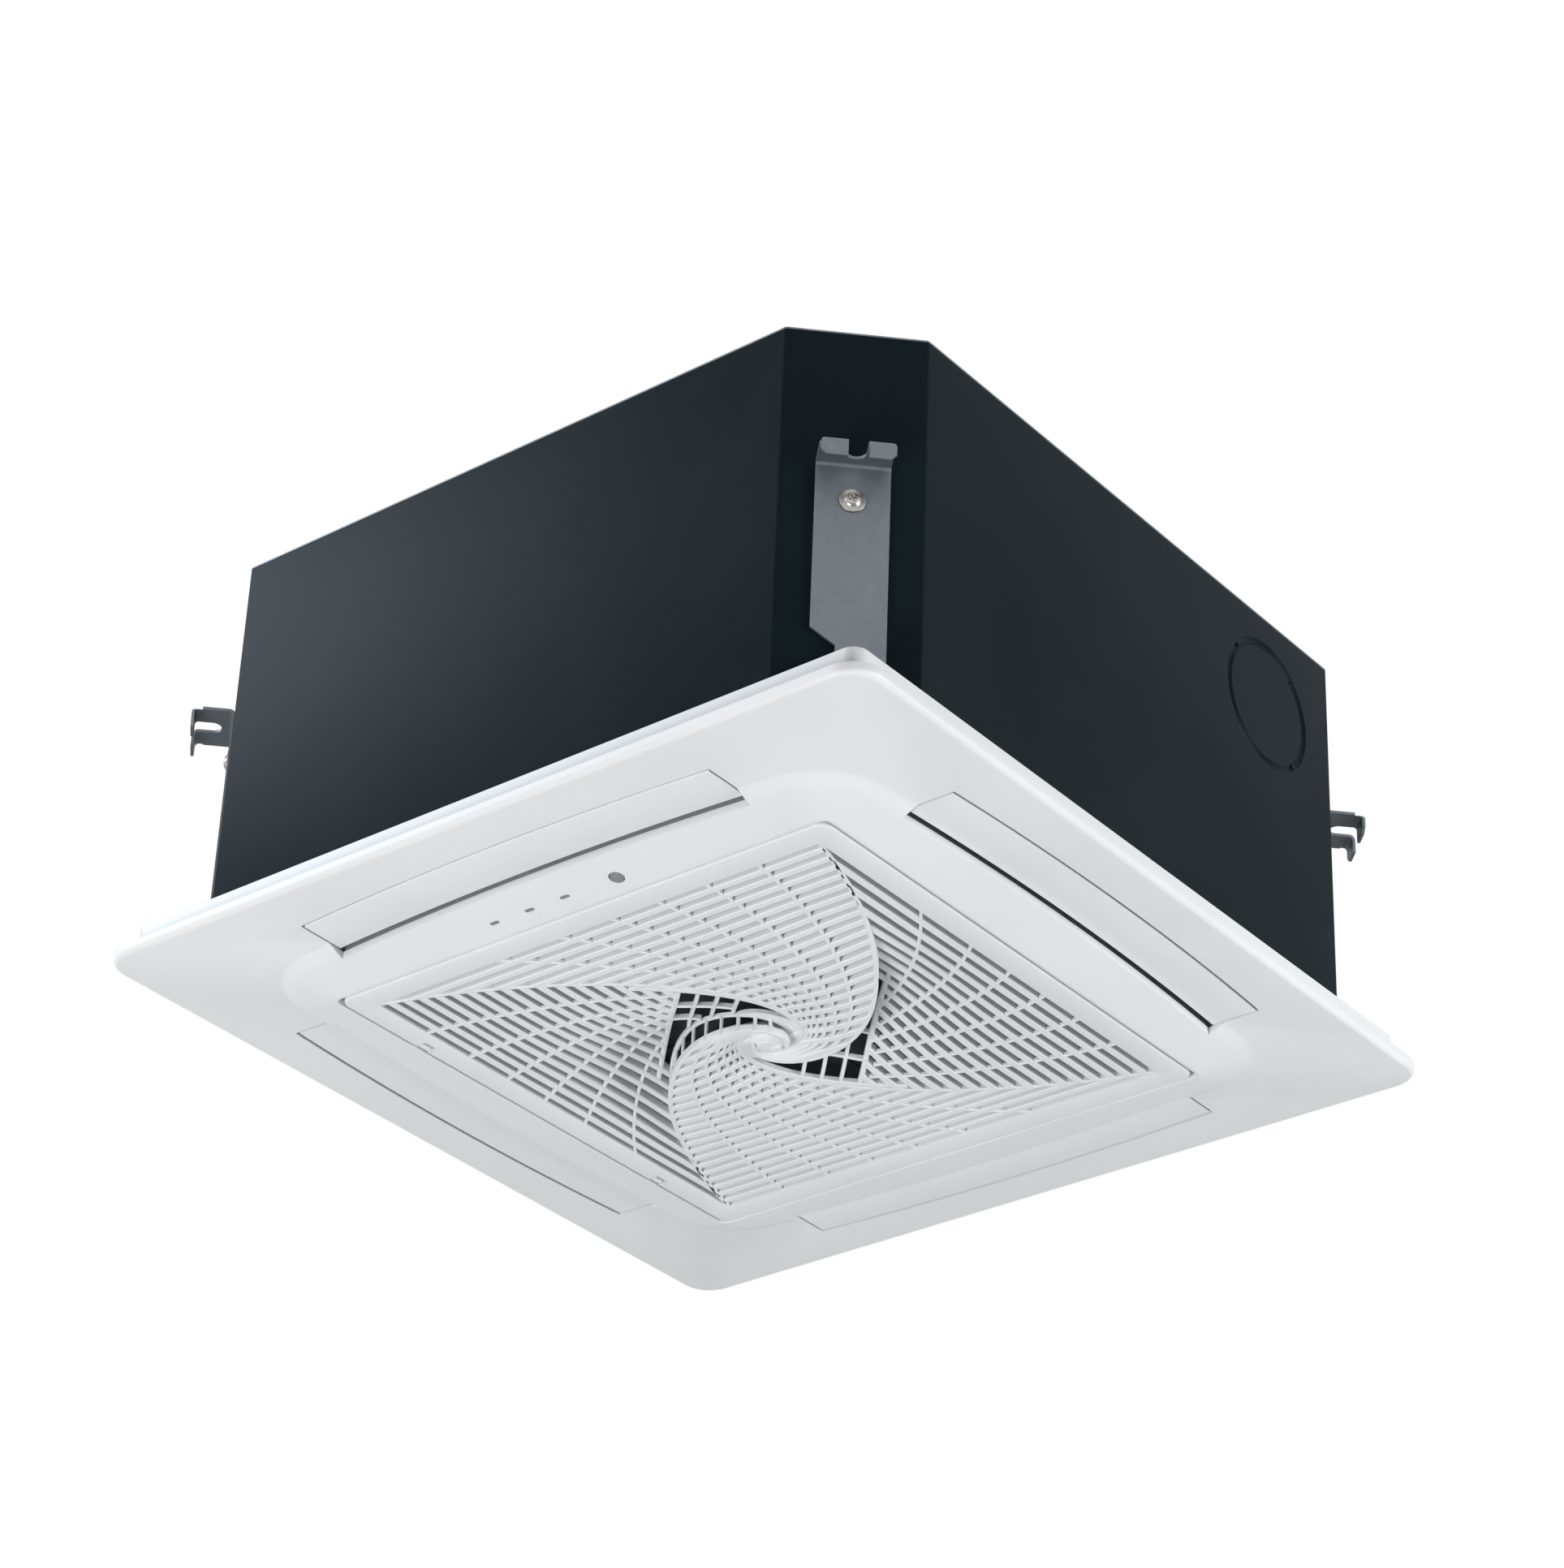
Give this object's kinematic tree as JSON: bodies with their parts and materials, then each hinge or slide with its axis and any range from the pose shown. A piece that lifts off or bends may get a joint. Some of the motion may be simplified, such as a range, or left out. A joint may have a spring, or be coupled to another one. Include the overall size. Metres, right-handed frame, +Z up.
{
  "type": "ceiling cassette air conditioner",
  "caption": "Octagonal sheet-metal body on hanger brackets, closed from below by a square white panel with bowed louvres round a swirl-slotted intake grille.",
  "frame": {"origin": "middle of the panel in the plane of the ceiling, which is the flat back of the panel's rim", "axes": "+Z up, out of the room into the ceiling void; the pipes leave on +Y near the +X end and the drain on +X near the +Y end"},
  "size_m": [0.6303, 0.639, 0.3089],
  "materials": {
    "white_plastic": "satin, slightly cool white",
    "dark_lens": "smooth",
    "grey_plastic": "satin",
    "black_plastic": "satin",
    "filter_mesh": "fine woven mesh",
    "screw_steel": "bright zinc",
    "dark_casing": "dark coated sheet",
    "galvanised_sheet": "matt zinc-coated sheet",
    "white_foam": "moulded foam",
    "coil_fins": "thin parallel fins",
    "copper_tube": "drawn copper",
    "brass_nut": "machined",
    "circuit_board": "coated board"
  },
  "bodies": {
    "unit": {"bell_mouth": "grey_plastic", "bracket_screw_back_left": "screw_steel", "bracket_screw_back_right": "screw_steel", "bracket_screw_front_left": "screw_steel", "bracket_screw_front_right": "screw_steel", "cable_gland": "black_plastic", "casing_liner": "white_foam", "casing_shell": "dark_casing", "coil": "coil_fins", "control_board": "circuit_board", "control_box": "galvanised_sheet", "control_box_cover": "galvanised_sheet", "drain_outlet": "black_plastic", "drain_pan": "white_foam", "drain_pump": "black_plastic", "drain_riser": "grey_plastic", "fan_motor": "black_plastic", "float_switch": "black_plastic", "gas_pipe": "copper_tube", "gas_pipe_nut": "brass_nut", "hanger_bracket_back_left": "galvanised_sheet", "hanger_bracket_back_right": "galvanised_sheet", "hanger_bracket_front_left": "galvanised_sheet", "hanger_bracket_front_right": "galvanised_sheet", "indicator_light_guide": "dark_lens", "knockout_cover": "dark_casing", "latch_housing_left": "grey_plastic", "latch_housing_right": "grey_plastic", "liquid_pipe": "copper_tube", "liquid_pipe_nut": "brass_nut", "louvre_motor_back": "grey_plastic", "louvre_motor_front": "grey_plastic", "louvre_motor_left": "grey_plastic", "louvre_motor_right": "grey_plastic", "motor_mount": "galvanised_sheet", "panel_frame": "white_plastic", "panel_screw_1": "screw_steel", "panel_screw_2": "screw_steel", "panel_screw_3": "screw_steel", "panel_screw_4": "screw_steel", "pipe_cover": "galvanised_sheet", "receiver_window": "dark_lens", "room_thermistor": "black_plastic", "top_panel": "galvanised_sheet", "tube_plate_back": "copper_tube", "tube_plate_right": "copper_tube"},
    "louvre_front": {"louvre_front": "white_plastic"},
    "louvre_right": {"louvre_right": "white_plastic"},
    "louvre_back": {"louvre_back": "white_plastic"},
    "louvre_left": {"louvre_left": "white_plastic"},
    "grille": {"intake_grille": "white_plastic", "air_filter": "filter_mesh"},
    "latch_left": {"latch_plunger_left": "black_plastic"},
    "latch_right": {"latch_plunger_right": "black_plastic"},
    "fan": {"turbo_fan": "grey_plastic", "fan_nut": "screw_steel", "motor_shaft": "screw_steel"},
    "float": {"float": "white_foam"},
    "pump_impeller": {"pump_impeller": "white_plastic"}
  },
  "joints": [
    {"name": "louvre_front_swing", "type": "hinge", "parent": "unit", "child": "louvre_front", "pos_m": [0, -0.246, -0.0005], "axis": [1, 0, 0], "range_deg": [0, 70]},
    {"name": "louvre_right_swing", "type": "hinge", "parent": "unit", "child": "louvre_right", "pos_m": [0.246, 0, -0.0005], "axis": [0, 1, 0], "range_deg": [0, 70]},
    {"name": "louvre_back_swing", "type": "hinge", "parent": "unit", "child": "louvre_back", "pos_m": [0, 0.246, -0.0005], "axis": [-1, 0, 0], "range_deg": [0, 70]},
    {"name": "louvre_left_swing", "type": "hinge", "parent": "unit", "child": "louvre_left", "pos_m": [-0.246, 0, -0.0005], "axis": [0, -1, 0], "range_deg": [0, 70]},
    {"name": "grille_hinge", "type": "hinge", "parent": "unit", "child": "grille", "pos_m": [0, 0.1966, -0.0179], "axis": [1, 0, 0], "range_deg": [0, 85]},
    {"name": "latch_left_press", "type": "slide", "parent": "unit", "child": "latch_left", "axis": [0, 0, 1], "range_m": [0, 0.003], "stiffness_N_per_m": 250, "springref_m": -0.001},
    {"name": "latch_right_press", "type": "slide", "parent": "unit", "child": "latch_right", "axis": [0, 0, 1], "range_m": [0, 0.003], "stiffness_N_per_m": 250, "springref_m": -0.001},
    {"name": "fan_spin", "type": "hinge", "parent": "unit", "child": "fan", "pos_m": [0, 0, 0.15], "axis": [0, 0, 1], "continuous": true},
    {"name": "float_rise", "type": "slide", "parent": "unit", "child": "float", "axis": [0, 0, 1], "range_m": [0, 0.012]},
    {"name": "pump_spin", "type": "hinge", "parent": "unit", "child": "pump_impeller", "pos_m": [0.201, 0.201, 0.05], "axis": [0, 0, 1], "continuous": true}
  ]
}
